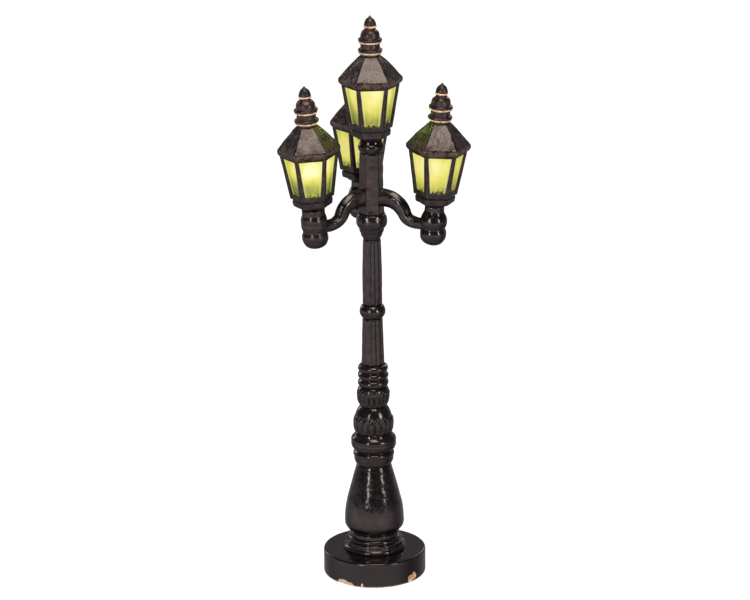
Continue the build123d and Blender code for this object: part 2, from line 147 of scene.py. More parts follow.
def hexagon(rounding, corner_at=30):
    """A six-sided section of circumradius 1 with rounded corners."""
    half = math.pi / 6
    centre = 1 - rounding / math.cos(half)
    apothem = math.cos(half)
    points = []
    for side in range(6):
        corner = math.radians(corner_at) + 2 * half * side
        for step in range(-2, 3):
            turn = corner + half * step / 2
            points.append((centre * math.cos(corner) + rounding * math.cos(turn),
                           centre * math.sin(corner) + rounding * math.sin(turn)))
        flat = apothem * math.tan(half) - rounding * math.tan(half)
        facing = corner + half
        for share in (-0.9, -0.6, -0.2, 0.2, 0.6, 0.9):
            across = flat * share
            points.append((apothem * math.cos(facing) - across * math.sin(facing),
                           apothem * math.sin(facing) + across * math.cos(facing)))
    return points


def lathe(profile, section, relief=None, bored=True):
    """Points and faces of a profile carried round the section. A bored solid closes from its last
    ring to its first, and any other has flat ends."""
    points = []
    for radius, height in profile:
        for x, y in section:
            reach = radius
            if relief:
                reach += relief(math.atan2(y, x), height, radius)
            points.append(Vector((x * reach, y * reach, height)))
    around = len(section)
    rings = len(profile)
    faces = []
    for ring in range(rings if bored else rings - 1):
        low = ring * around
        high = (ring + 1) % rings * around
        for k in range(around):
            after = (k + 1) % around
            faces.append((low + k, low + after, high + after, high + k))
    if not bored:
        faces.append(tuple(reversed(range(around))))
        faces.append(tuple(range((rings - 1) * around, rings * around)))
    return points, faces


def swept(path, radii, section):
    """Points and faces of a section carried along a path in the XZ plane, with flat ends.
    The radii are pairs: upwards, sideways."""
    points = []
    for k, (place, (tall, wide)) in enumerate(zip(path, radii)):
        ahead = path[min(k + 1, len(path) - 1)] - path[max(k - 1, 0)]
        along = ahead.normalized()
        up = Vector((-along.z, 0, along.x))
        for x, y in section:
            points.append(place + up * x * tall + Vector((0, -1, 0)) * y * wide)
    around = len(section)
    faces = [tuple(reversed(range(around)))]
    for ring in range(len(path) - 1):
        low = ring * around
        high = low + around
        for k in range(around):
            after = (k + 1) % around
            faces.append((low + k, low + after, high + after, high + k))
    faces.append(tuple(range((len(path) - 1) * around, len(path) * around)))
    return points, faces


def lumpy(points, height, width, seed):
    """A hand-cast surface: the points move by about the height, in lumps of about the width."""
    shift = Vector((7.3, 3.1, 5.7)) * seed
    return [point + noise.noise_vector(point / width + shift) * height for point in points]


def smoothstep(low, high, value):
    share = min(1, max(0, (value - low) / (high - low)))
    return share * share * (3 - 2 * share)


# ---- Places, from the frame ----
def span(node):
    """Lowest and highest point of a CAD node, in millimetres."""
    low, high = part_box(node)
    return low.z / MM, high.z / MM


def radius_of(node):
    """Half the width of a CAD node, in millimetres."""
    low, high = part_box(node)
    return (high.x - low.x) / 2 / MM


def bearing(node):
    """The bearing of a CAD node's middle from the post's axis."""
    low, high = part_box(node)
    return math.atan2(low.y + high.y, low.x + high.x)


def tip(node):
    """The middle of a node's topmost rim."""
    points = [vertex.co / MM for vertex in nodes[node].data.vertices]
    peak = max(point.z for point in points)
    rim = [point for point in points if point.z > peak - 0.02]
    return sum(rim, Vector()) / len(rim)


eave_height = span("roof_top")[1] - ROOF_RISE
finial_rise = span("finial_top")[1] - eave_height


def lantern_place(side):
    """A lantern's own frame: its origin is on the eave, and its axis points up."""
    peak = tip(f"finial_{side}")
    lamp = sum(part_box(f"led_{side}"), Vector()) / 2 / MM
    axis = (peak - lamp).normalized()
    facing = math.radians(90) if side == "top" else bearing(f"roof_{side}")
    upright = Vector((0, 0, 1)).rotation_difference(axis).to_matrix().to_4x4()
    turn = upright @ Matrix.Rotation(facing, 4, "Z")
    return Matrix.Translation(peak) @ turn @ Matrix.Translation((0, 0, -finial_rise))


# ---- Materials ----
def colour(red, green, blue):
    """A linear colour from the 0 to 255 values seen on a screen."""
    return tuple((c / 255 / 12.92) if c <= 10 else ((c / 255 + 0.055) / 1.055) ** 2.4
                 for c in (red, green, blue)) + (1.0,)


def fill(tree, socket, value):
    """Link another node's output to the socket, or set the socket's own value."""
    if isinstance(value, bpy.types.NodeSocket):
        tree.links.new(value, socket)
    else:
        socket.default_value = value


def add(tree, kind, inputs=None, **settings):
    """A new shader node of a kind, with its inputs linked or set."""
    made = tree.nodes.new("ShaderNode" + kind)
    for key, value in settings.items():
        setattr(made, key, value)
    for key, value in (inputs or {}).items():
        fill(tree, made.inputs[key], value)
    return made


def new_material(name, **inputs):
    """A material, its node tree and its shader, whose inputs are named with _ for a space."""
    made = bpy.data.materials.new(name)
    made.use_nodes = True
    shader = made.node_tree.nodes["Principled BSDF"]
    for key, value in inputs.items():
        shader.inputs[key.replace("_", " ")].default_value = value
    return made, made.node_tree, shader


def object_space(tree, stretch=(1, 1, 1)):
    """The piece's own coordinates, in metres, stretched along its axes."""
    place = add(tree, "TexCoord").outputs["Object"]
    return add(tree, "Mapping", {"Vector": place, "Scale": stretch}).outputs["Vector"]


def grain(tree, size, detail=3.0, stretch=(1, 1, 1)):
    """Noise with features of a size in millimetres."""
    inputs = {"Vector": object_space(tree, stretch), "Scale": 1 / (size * MM), "Detail": detail}
    return add(tree, "TexNoise", inputs).outputs["Fac"]


def ramp(tree, factor, *stops):
    """Colours at places along a factor, given as (place, colour) pairs."""
    made = add(tree, "ValToRGB", {"Fac": factor})
    elements = made.color_ramp.elements
    while len(elements) < len(stops):
        elements.new(0.5)
    for element, (place, shade) in zip(elements, stops):
        element.position = place
        element.color = shade
    return made.outputs["Color"]


def mapped(tree, value, low, high, to_low=0.0, to_high=1.0, smooth=False):
    """A value carried from the range low to high into another range, and held at its ends."""
    kind = "SMOOTHSTEP" if smooth else "LINEAR"
    inputs = {"Value": value, "From Min": low, "From Max": high, "To Min": to_low,
              "To Max": to_high}
    return add(tree, "MapRange", inputs, interpolation_type=kind).outputs["Result"]


def maths(tree, operation, first, second):
    made = add(tree, "Math", operation=operation)
    fill(tree, made.inputs[0], first)
    fill(tree, made.inputs[1], second)
    return made.outputs["Value"]


def plus(tree, first, second):
    return maths(tree, "ADD", first, second)


def times(tree, first, second):
    return maths(tree, "MULTIPLY", first, second)


def mixed(tree, factor, first, second):
    """A colour between two others."""
    made = add(tree, "Mix", data_type="RGBA")
    fill(tree, made.inputs["Factor"], factor)
    fill(tree, made.inputs[6], first)
    fill(tree, made.inputs[7], second)
    return made.outputs[2]


def bumps(tree, shader, *layers):
    """Bump layers of (height, depth in millimetres), one upon another."""
    normal = None
    for height, depth in layers:
        inputs = {"Height": height, "Distance": depth * MM, "Strength": 1.0}
        if normal:
            inputs["Normal"] = normal
        normal = add(tree, "Bump", inputs).outputs["Normal"]
    tree.links.new(normal, shader.inputs["Normal"])


def surface(tree, shader, base, rough, *layers):
    """Give a shader its colour, its roughness and its bump layers."""
    tree.links.new(base, shader.inputs["Base Color"])
    tree.links.new(rough, shader.inputs["Roughness"])
    bumps(tree, shader, *layers)


def enamel(name, dark, warm, gloss, dimples, chipped=False):
    """Thick brushed enamel: uneven colour on a glossy surface, with dimples of a depth in
    millimetres."""
    made, tree, shader = new_material(name, Coat_Weight=0.15, Coat_Roughness=0.08)
    base = ramp(tree, grain(tree, 2.2, detail=4), (0.35, dark), (0.7, warm))
    rough = mapped(tree, grain(tree, 0.8, detail=4), 0.38, 0.66, gloss, gloss + 0.2)
    if chipped:
        base, rough = worn(tree, base, rough)
    surface(tree, shader, base, rough, (grain(tree, 1.6, detail=2), dimples),
            (grain(tree, 0.55, detail=2), dimples / 6))
    return made


def worn(tree, base, rough):
    """Chips show pale resin inside a brown rim, and the foot's lower edge is worn to a lighter
    brown.
    """
    height = add(tree, "SeparateXYZ", {"Vector": object_space(tree)}).outputs["Z"]
    low = mapped(tree, height, 0.2 * MM, 0.7 * MM, 1.0, 0.0, smooth=True)
    lightened = times(tree, low, mapped(tree, grain(tree, 1.4, detail=4), 0.34, 0.5))
    base = mixed(tree, lightened, base, colour(176, 142, 112))
    chip = add(tree, "Attribute", attribute_name="chip").outputs["Fac"]
    ragged = plus(tree, chip, mapped(tree, grain(tree, 0.5), 0.3, 0.7, -0.1, 0.1))
    rim = mixed(tree, mapped(tree, ragged, 0.12, 0.22), base, colour(92, 56, 28))
    resin = ramp(tree, grain(tree, 0.9, detail=4), (0.38, colour(226, 172, 92)),
                 (0.56, colour(255, 244, 226)))
    base = mixed(tree, mapped(tree, ragged, 0.34, 0.46), rim, resin)
    rough = plus(tree, rough, mapped(tree, ragged, 0.25, 0.6, 0.0, 0.45))
    return base, rough


def satin(name, dark, light, lightened):
    """Thin satin enamel, worn back to a lighter tone in places."""
    made, tree, shader = new_material(name, Coat_Weight=0.2, Coat_Roughness=0.12)
    base = ramp(tree, grain(tree, 1.3, detail=4), (0.38, dark), (0.58, light), (0.76, lightened))
    rough = mapped(tree, grain(tree, 0.7), 0.3, 0.7, 0.28, 0.55)
    surface(tree, shader, base, rough, (grain(tree, 0.9), 0.05))
    return made


def lantern_space(tree, side):
    """X, Y and Z in a lantern's own frame, in metres."""
    place = lantern_place(side)
    inputs = {"Vector": add(tree, "TexCoord").outputs["Object"],
              "Location": place.translation * MM,
              "Rotation": place.to_euler()}
    own = add(tree, "Mapping", inputs, vector_type="TEXTURE")
    split = add(tree, "SeparateXYZ", {"Vector": own.outputs["Vector"]})
    return [split.outputs[axis] for axis in "XYZ"]


def roof_enamel(side):
    """Satin brown enamel, brushed down the facets, with painted shade in the hollows of its bumps
    and a painted highlight along the eave.
    """
    made, tree, shader = new_material("roof_enamel_" + side, Coat_Weight=0.1,
                                      Coat_Roughness=0.12)
    height = lantern_space(tree, side)[2]
    brushed = grain(tree, 0.6, detail=2, stretch=(1, 1, 0.4))
    patches = grain(tree, 2.4)
    dimples = grain(tree, 0.95, detail=1)
    # Painted shade: the colour is darkest where the brushed and patchy bumps are lowest, in their
    # hollows
    tone = plus(tree, times(tree, brushed, 0.5), times(tree, patches, 0.5))
    base = ramp(tree, tone, (0.36, colour(13, 13, 17)), (0.52, colour(43, 37, 36)),
                (0.66, colour(84, 66, 57)))
    # Painted highlight: the eave band and the roof's underside are lightened to tan, where light
    # catches the eave
    eave = mapped(tree, height, 0.9 * MM, 0.2 * MM, smooth=True)
    lightened = times(tree, eave, mapped(tree, grain(tree, 1.1), 0.42, 0.6, 0.0, 0.8))
    base = mixed(tree, lightened, base, colour(104, 90, 74))
    rough = mapped(tree, tone, 0.42, 0.62, 0.16, 0.4)
    surface(tree, shader, base, rough, (patches, 0.15), (dimples, 0.035), (brushed, 0.035))
    return made


def pane_material(side, hot_height, above, below, strength, pale, brightest):
    """Yellow-green translucent pane, brightest by the lamp and fading over distances above and
    below it. Painted light brightens its side at a bearing in degrees; painted shade dims the
    rest."""
    made, tree, shader = new_material("pane_" + side, Roughness=0.25, Coat_Weight=0.2,
                                      Coat_Roughness=0.1)
    x, y, z = lantern_space(tree, side)
    high = mapped(tree, z, hot_height * MM, (hot_height + above) * MM)
    low = mapped(tree, z, (hot_height - below) * MM, hot_height * MM, 1.0, 0.0)
    upright = mapped(tree, plus(tree, high, low), 0.0, 1.0, 0.7, 0.0, smooth=True)
    # Angle from the middle of a pane, up to 30 degrees at a corner bar
    beside = maths(tree, "PINGPONG", maths(tree, "ARCTAN2", y, x), math.radians(30))
    middle = mapped(tree, beside, math.radians(4), math.radians(22), 0.1, 0.0, smooth=True)
    clouds = mapped(tree, grain(tree, 2.2, stretch=(1, 1, 0.5)), 0.3, 0.7, -0.13, 0.13)
    # Painted light and shade: the panes are brighter on the side towards the bearing and dimmer on
    # the side away from it
    aim = Matrix.Rotation(math.radians(brightest), 3, "Z") @ Vector((1, 0, 0))
    aim = lantern_place(side).to_3x3().inverted() @ aim
    toward = plus(tree, times(tree, x, aim.x), times(tree, y, aim.y))
    turned = mapped(tree, toward, 1.4 * MM, 5.4 * MM, -0.08, 0.24)
    glow = plus(tree, plus(tree, upright, middle), plus(tree, clouds, turned))
    shade = ramp(tree, glow, (0.04, colour(116, 120, 54)), (0.26, colour(158, 162, 68)),
                 (0.5, colour(199, 199, 84)), (0.78, colour(238, 230, 112)), (1.0, pale))
    sill = mapped(tree, z, (SILL + 1.8) * MM, (SILL + 0.2) * MM)
    specks = times(tree, sill, mapped(tree, grain(tree, 0.7), 0.46, 0.56))
    shade = mixed(tree, specks, shade, colour(58, 58, 34))
    rim = mapped(tree, beside, math.radians(18), math.radians(21), 0.0, 0.45)
    shade = mixed(tree, rim, shade, colour(232, 230, 150))
    tree.links.new(shade, shader.inputs["Emission Color"])
    shader.inputs["Emission Strength"].default_value = strength
    dim = mixed(tree, 0.85, shade, colour(40, 44, 14))
    tree.links.new(dim, shader.inputs["Base Color"])
    bumps(tree, shader, (grain(tree, 1.6, detail=2, stretch=(1, 1, 0.4)), 0.04))
    return made


def copper_paint():
    """Thin pale copper paint, darker where it is scant."""
    made, tree, shader = new_material("copper_line", Metallic=0.1)
    tone = ramp(tree, grain(tree, 0.9), (0.3, colour(196, 122, 80)),
                (0.42, colour(255, 206, 158)), (0.6, colour(255, 236, 204)))
    rough = mapped(tree, grain(tree, 0.5), 0.3, 0.7, 0.25, 0.45)
    surface(tree, shader, tone, rough, (grain(tree, 0.4), 0.02))
    return made


def simple_material(name, dark, light, size, rough, depth, stretch=(1, 1, 1), **inputs):
    """Two-toned material for the inner pieces. Grain of one size runs through its colour, its
    range of roughness and its bump."""
    made, tree, shader = new_material(name, **inputs)
    speckle = grain(tree, size, detail=4, stretch=stretch)
    base = ramp(tree, speckle, (0.35, dark), (0.65, light))
    surface(tree, shader, base, mapped(tree, speckle, 0.3, 0.7, *rough), (speckle, depth))
    return made


def lamp_lens():
    """Lit lens of a small lamp."""
    made, tree, shader = new_material("lamp_lens", Transmission_Weight=0.4, Emission_Strength=3.0)
    glow = ramp(tree, grain(tree, 1.0), (0.3, colour(255, 240, 160)), (0.7, colour(255, 252, 214)))
    tree.links.new(glow, shader.inputs["Base Color"])
    tree.links.new(glow, shader.inputs["Emission Color"])
    rough = mapped(tree, grain(tree, 0.6), 0.3, 0.7, 0.15, 0.3)
    tree.links.new(rough, shader.inputs["Roughness"])
    return made


# Finishes by material slot, and the ones that only some of a slot's pieces have
finishes = {
    "enamel": enamel("enamel", colour(19, 17, 19), colour(37, 29, 30), 0.1, 0.08),
    "foot_enamel": enamel("foot_enamel", colour(15, 14, 17), colour(27, 23, 26), 0.14, 0.012,
                          chipped=True),
    "mottled_enamel": enamel("mottled_enamel", colour(14, 13, 15), colour(60, 43, 36),
                             0.12, 0.12),
    "soft_enamel": enamel("soft_enamel", colour(22, 19, 20), colour(52, 44, 42), 0.16, 0.12),
    "satin_enamel": satin("satin_enamel", colour(14, 13, 15), colour(47, 40, 38),
                          colour(82, 66, 58)),
    "finial_enamel": satin("finial_enamel", colour(10, 9, 12), colour(50, 35, 29),
                           colour(104, 68, 50)),
    "copper": copper_paint(),
    "lamp_lens": lamp_lens(),
    "wire_insulation": simple_material("red_lacquer", colour(120, 18, 16), colour(160, 34, 26),
                                       0.4, (0.3, 0.42), 0.005),
    "tube_brass": simple_material("drawn_brass", colour(190, 150, 80), colour(214, 178, 104),
                                  0.3, (0.22, 0.36), 0.004, stretch=(1, 1, 0.1), Metallic=1.0),
    "black_plastic": simple_material("moulded_black", colour(26, 26, 27), colour(38, 38, 39),
                                     0.22, (0.42, 0.58), 0.012),
    "plated_steel": simple_material("nickel_plate", colour(176, 176, 172), colour(206, 205, 200),
                                    0.5, (0.18, 0.34), 0.004, stretch=(3, 0.6, 1), Metallic=1.0),
    "board": simple_material("solder_resist", colour(14, 84, 44), colour(22, 104, 56),
                             0.8, (0.28, 0.4), 0.006),
    "resistor": simple_material("ceramic_chip", colour(34, 32, 30), colour(58, 56, 52),
                                0.2, (0.3, 0.5), 0.008),
}


# ---- Pieces ----
def piece(node, shape, place=Matrix(), body="root", finish=None):
    """A finished piece that stands for a CAD node and rides on its body."""
    points, faces = shape
    mesh = bpy.data.meshes.new(node + "_finished")
    mesh.from_pydata([place @ point * MM for point in points], [], faces)
    mesh.shade_smooth()
    mesh.materials.append(finish or finishes[slot_of[node]])
    made = bpy.data.objects.new(mesh.name, mesh)
    bpy.context.scene.collection.objects.link(made)
    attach(made, body)
    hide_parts(node)
    return made


def baked(made):
    """Apply a piece's modifiers to its mesh."""
    scene_graph = bpy.context.evaluated_depsgraph_get()
    mesh = bpy.data.meshes.new_from_object(made.evaluated_get(scene_graph))
    made.modifiers.clear()
    made.data = mesh
    return made


def rounded(made, width, segments, angle=30):
    """Round a piece's edges that are sharper than an angle in degrees."""
    edge = made.modifiers.new("rounded", "BEVEL")
    edge.width = width * MM
    edge.segments = segments
    edge.limit_method = "ANGLE"
    edge.angle_limit = math.radians(angle)


def dense(made, levels):
    """Divide a piece's faces, so that flat ones can be made uneven too."""
    step = made.modifiers.new("dense", "SUBSURF")
    step.subdivision_type = "SIMPLE"
    step.levels = levels
    step.render_levels = levels


def cut(made, *cutters):
    """Take blocks out of a piece."""
    for points, faces in cutters:
        mesh = bpy.data.meshes.new("cutter")
        mesh.from_pydata([point * MM for point in points], [], faces)
        tool = bpy.data.objects.new("cutter", mesh)
        bpy.context.scene.collection.objects.link(tool)
        step = made.modifiers.new("cut", "BOOLEAN")
        step.operation = "DIFFERENCE"
        step.solver = "EXACT"
        step.object = tool
        baked(made)
        bpy.data.objects.remove(tool)
    return made


def box_shape(x_low, x_high, y_low, y_high, z_low, z_high):
    points = [Vector((x, y, z)) for z in (z_low, z_high) for y in (y_low, y_high)
              for x in (x_low, x_high)]
    faces = [(0, 2, 3, 1), (4, 5, 7, 6), (0, 1, 5, 4), (2, 6, 7, 3), (0, 4, 6, 2), (1, 3, 7, 5)]
    return points, faces


# ---- Foot ----
# Chips in the foot's edge: bearing from the camera's side, height of the middle, half width in
# degrees, half height, and depth
CHIPS = ((-39.0, 0.2, 9.0, 1.35, 0.5), (-31.0, 0.0, 7.5, 1.1, 0.4), (-14.6, 0.75, 1.5, 0.55, 0.2),
         (44.5, 1.2, 4.2, 1.1, 0.45), (50.0, 1.5, 4.6, 1.2, 0.6))
CHIPS_END = 4


def from_camera(degrees):
    """A bearing counted from the camera's side, from -180 to 180 degrees."""
    return (degrees + 90 - CAMERA_BEARING + 180) % 360 - 180


def chip_share(angle, height):
    """How far inside a chip a point of the foot's wall lies, and that chip's depth. The share is 0
    at the ragged rim."""
    ragged = noise.noise(Vector((angle * 14, height * 1.1, 4.2))) * 0.3
    ragged += noise.noise(Vector((angle * 50, height * 3.5, 1.7))) * 0.12
    best = (-1.0, 0.0)
    for at, level, wide, tall, deep in CHIPS:
        across = from_camera(math.degrees(angle)) - at
        best = max(best, (1 - (across / wide) ** 2 - ((height - level) / tall) ** 2, deep))
    return best[0] + (ragged if best[0] > -0.6 else 0), best[1]


def foot_relief(angle, height, radius):
    if radius < GROOVE_RADIUS + 0.1 or height > CHIPS_END:
        return 0
    inside, deep = chip_share(angle, height)
    if inside <= 0:
        return 0
    facets = noise.noise(Vector((angle * 30, height * 2.2, 9.1))) * 0.12
    room = smoothstep(GROOVE_RADIUS + 0.1, GROOVE_RADIUS + 0.75, radius)
    return -(deep * smoothstep(0, 0.35, inside) + facets * smoothstep(0, 0.5, inside)) * room


def foot_bearings():
    """Bearings round the foot, close together where its edge is chipped."""
    angles = []
    angle = 0.0
    while angle < 360:
        angles.append(math.radians(angle))
        near = any(abs(from_camera(angle) - chip[0]) < chip[2] + 4 for chip in CHIPS)
        angle += 0.4 if near else 2.0
    return [(math.cos(a), math.sin(a)) for a in angles]


def tab_entry(middle):
    """A block that opens the cover's groove downwards for one of its tabs, at a bearing."""
    half = math.radians(TAB_ANGLE / 2)
    bearings = [middle + half * step / 4 for step in range(-4, 5)]
    rim = [Vector((math.cos(a), math.sin(a), 0)) for a in bearings]
    points = [p * r + Vector((0, 0, z)) for z in (-0.5, 0.8)
              for r in (FOOT_WALL_INNER - 0.3, GROOVE_RADIUS - 0.04) for p in rim]
    n = len(rim)
    faces = []
    for j in range(n - 1):
        faces.append((j, j + 1, n + j + 1, n + j))
        faces.append((2 * n + j, 3 * n + j, 3 * n + j + 1, 2 * n + j + 1))
        faces.append((j, 2 * n + j, 2 * n + j + 1, j + 1))
        faces.append((n + j, n + j + 1, 3 * n + j + 1, 3 * n + j))
    faces.append((0, n, 3 * n, 2 * n))
    faces.append((n - 1, 3 * n - 1, 4 * n - 1, 2 * n - 1))
    return points, faces


def foot():
    """Round foot with a chipped edge, a groove for the cover and a slot for the switch."""
    low, high = span("base_disc")
    radius = radius_of("base_disc")
    wall = outline((FOOT_WALL_INNER, low), (radius - 0.55, low), (radius, low + 0.6, 0.16),
                   (radius, low + 3.4), spacing=0.1)
    top = outline((radius, low + 3.4), (radius, high - 0.45), (radius - 0.45, high, 0.14),
                  (7, high), spacing=0.22)
    inside = outline((BORE, high), (BORE, BAY_HEIGHT), (FOOT_WALL_INNER, BAY_HEIGHT),
                     (FOOT_WALL_INNER, GROOVE_HIGH), (GROOVE_RADIUS, GROOVE_HIGH),
                     (GROOVE_RADIUS, GROOVE_LOW), (FOOT_WALL_INNER, GROOVE_LOW),
                     spacing=1.5, passes=0)
    points, faces = lathe(wall + top[1:] + inside, foot_bearings(), foot_relief)
    chips = []
    for point in points:
        on_wall = point.xy.length > GROOVE_RADIUS + 0.05 and point.z < CHIPS_END
        share = chip_share(math.atan2(point.y, point.x), point.z)[0] if on_wall else -1
        chips.append(smoothstep(-0.1, 0.5, share))
    uneven = lumpy(points, 0.018, 3.5, 1)
    points = [moved if 0.3 < point.z and point.xy.length > GROOVE_RADIUS + 0.1 else point
              for point, moved in zip(points, uneven)]
    made = piece("base_disc", (points, faces), finish=finishes["foot_enamel"])
    layer = made.data.attributes.new("chip", "FLOAT", "POINT")
    layer.data.foreach_set("value", chips)
    width, slot_low, slot_high = SWITCH_SLOT
    slot = box_shape(-width / 2, width / 2, 11.5, radius + 1, slot_low, slot_high)
    cut(made, slot, *(tab_entry(math.radians(120 * k - COVER_TURN)) for k in range(3)))
    made.data.set_sharp_from_angle(angle=math.radians(50))
    return made


# ---- Post ----
LEAVES = 18
RIBS = 10


def leaves(top, foot_level, proud):
    """Leaves round a bulb, with rounded tops and narrow gaps between them."""

    def relief(angle, height, radius):
        if radius < BORE + 0.5:
            return 0
        share = abs((angle / math.tau * LEAVES + 0.5) % 1 * 2 - 1)
        crown = top - 1.3 * share ** 2.5
        domed = proud * (1 - share ** 3)
        gap = -0.34 * smoothstep(0.5, 0.95, share)
        edge = -0.12 * math.exp(-((height - crown - 0.12) / 0.16) ** 2)
        inside = smoothstep(0, 0.5, crown - height)
        inside *= smoothstep(foot_level, foot_level + 0.8, height)
        return (domed + gap) * inside + edge
    return relief


def flutes(low, high):
    """Shallow round-bottomed flutes between ribs."""

    def relief(angle, height, radius):
        if radius < BORE + 0.5:
            return 0
        share = abs((angle / math.tau * RIBS) % 1 - 0.5) * 2
        ends = smoothstep(low, low + 0.5, height) * smoothstep(high, high - 0.5, height)
        return -0.34 * smoothstep(0.4, 1.0, share) * ends + 0.06 * ends
    return relief


def bored_outline(corners, **settings):
    """An outline that starts and ends at the tube."""
    low = corners[0][1]
    high = corners[-1][1]
    return outline((BORE, low), *corners, (BORE, high), **settings)


# Outlines of the castings, as heights above each one's seat
CASTINGS = {
    "base_moulding": ((8.0, 0), (7.75, 1.25, 0.36), (7.62, 1.35), (7.6, 2.35), (7.45, 2.5),
                      (6.8, 2.55), (6.95, 3.1, 0.1), (6.5, 3.65, 0.08)),
    "pear_pedestal": ((6.5, 0), (6.5, 1.15), (6.1, 1.35), (6.15, 1.45), (7.8, 4.3, 0.55),
                      (6.98, 10.5, 0.19), (4.5, 19.75, 0.05)),
    "pedestal_collar": ((4.45, 0), (5.16, 2.4, 0.26), (4.8, 3.85, 0.42), (4.85, 3.95),
                        (5.86, 6.3, 0.42), (5.1, 8.1, 0.36), (4.75, 8.95)),
    "lower_bulb": ((4.7, 0), (5.14, 2.3, 0.14), (4.86, 4.3, 0.1), (3.5, 7.2, 0.2)),
    "upper_bulb": ((3.5, 0), (4.2, 3.0, 0.2), (3.55, 5.35, 0.28)),
    "triple_ring": ((3.4, 0), (3.4, 2.0, 0.62), (3.4, 2.1), (3.4, 3.9, 0.62), (3.4, 4.0),
                    (3.1, 5.95, 0.7)),
    "lower_shaft": ((2.95, 0), (2.6, 12.75)),
    "shaft_collar": ((2.6, 0), (2.6, 3.5, 0.78)),
    "upper_shaft": ((2.5, 0), (2.52, 9.0), (2.28, 17.75)),
    "hub": ((2.3, 0), (2.4, 0.45), (2.85, 1.6, 0.14), (2.9, 1.65), (3.25, 2.7, 0.14), (3.35, 2.95),
            (3.98, 4.4, 0.16), (3.5, 6.7, 0.16)),
}


def post():
    """The castings from the foot to the hub."""
    for seed, (node, corners) in enumerate(CASTINGS.items()):
        low, high = span(node)
        relief = None
        around = 128
        spacing = 0.12
        if node == "lower_bulb":
            relief = leaves(low + 4.5, low - 0.2, 0.16)
            around = LEAVES * 14
        if node == "upper_bulb":
            relief = leaves(low + 4.3, low + 0.3, 0.1)
            around = LEAVES * 14
        if node in ("lower_shaft", "upper_shaft"):
            relief = flutes(low, high)
            around = RIBS * 16
            spacing = 0.3
        profile = raised(bored_outline(corners, spacing=spacing), low)
        points, faces = lathe(profile, circle(around), relief)
        unevenness = 0.1 if node in ("hub", "triple_ring") else 0.05
        piece(node, (lumpy(points, unevenness, 1.9, seed), faces))


def upper_column():
    """Six-sided column between the hub and the top lantern."""
    low, high = span("upper_column")
    radius = radius_of("upper_column")
    profile = bored_outline(((radius, low), (radius - 0.3, low + 3.5), (radius - 0.35, high)),
                            spacing=0.3)
    points, faces = lathe(profile, hexagon(0.16, corner_at=0))
    points = lumpy(points, 0.12, 2.0, 21)
    return piece("upper_column", (points, faces), finish=finishes["mottled_enamel"])


# ---- Arms and sockets ----
def arm(side):
    """A ridged swan-neck from the column down to the lantern's socket."""
    node = f"arm_{side}"
    low, high = span(node)
    root = high - 2.45
    drop = low + 1.95
    knee = Vector((9.2, 0, root - 3.35))
    steps = 26
    upper = interpolate_bezier(Vector((1.8, 0, root)), Vector((6.9, 0, root + 0.25)),
                               Vector((8.2, 0, root - 1.35)), knee, steps)
    lower = interpolate_bezier(knee, Vector((10.2, 0, drop - 0.1)), Vector((12.8, 0, drop - 0.35)),
                               Vector((17.6, 0, drop + 0.45)), steps)
    path = upper + lower[1:]
    shares = [k / (len(path) - 1) for k in range(len(path))]
    radii = [(2.62 - 0.9 * smoothstep(0, 1, share), 1.85 - 0.05 * share) for share in shares]
    points, faces = swept(path, radii, hexagon(0.52, corner_at=0))
    place = Matrix.Rotation(bearing(f"roof_{side}"), 4, "Z")
    points = lumpy([place @ point for point in points], 0.12, 2.2, 30)
    return piece(node, (points, faces))


# The sockets' necks differ: each one's radius, and its upper bead's
NECKS = {"left": (2.95, 3.3), "right": (2.5, 3.45), "back": (2.6, 3.45)}


def socket(side):
    """Beaded cup under an arm lantern."""
    neck, bead = NECKS[side]
    profile = outline((0.4, 0), (1.5, 0.08), (3.36, 2.6, 0.5), (3.0, 4.3, 0.14), (3.0, 4.6),
                      (bead, 6.6, 0.2), (neck + 0.3, 8.2, 0.08), (neck, 9.2, -0.06),
                      (neck, 10.4), (0.4, 10.4))
    points, faces = lathe(raised(profile, SOCKET_FOOT), circle(112), bored=False)
    points = lumpy(points, 0.09, 2.0, 40 + len(side))
    finish = finishes["soft_enamel" if side == "left" else "enamel"]
    return piece(f"socket_{side}", (points, faces), lantern_place(side), finish=finish)


def top_socket():
    """Ball between the column and the top lantern."""
    low, high = span("socket_top")
    profile = bored_outline(((2.9, low), (3.05, low + 0.4), (3.0, low + 2.3, 0.4), (2.8, high)))
    points, faces = lathe(profile, circle(112))
    return piece("socket_top", (lumpy(points, 0.06, 1.8, 50), faces))


# ---- Lanterns ----
def cage_radius(height):
    share = (height - CAGE_FOOT) / (CAGE_TOP - CAGE_FOOT)
    return CAGE_FOOT_RADIUS + share * (CAGE_TOP_RADIUS - CAGE_FOOT_RADIUS)


def side_point(side, across, height, inset):
    """A point on one of the cage's six sides."""
    facing = math.radians(60 * side)
    out = cage_radius(height) * math.cos(math.pi / 6) - inset
    return Vector((out * math.cos(facing) - across * math.sin(facing),
                   out * math.sin(facing) + across * math.cos(facing), height))


def opening(height):
    """Half the width between two corner bars at a height."""
    share = (height - SILL) / (PANE_TOP - SILL)
    return cage_radius(height) / 2 - (BAR_FOOT + share * (BAR_TOP - BAR_FOOT))


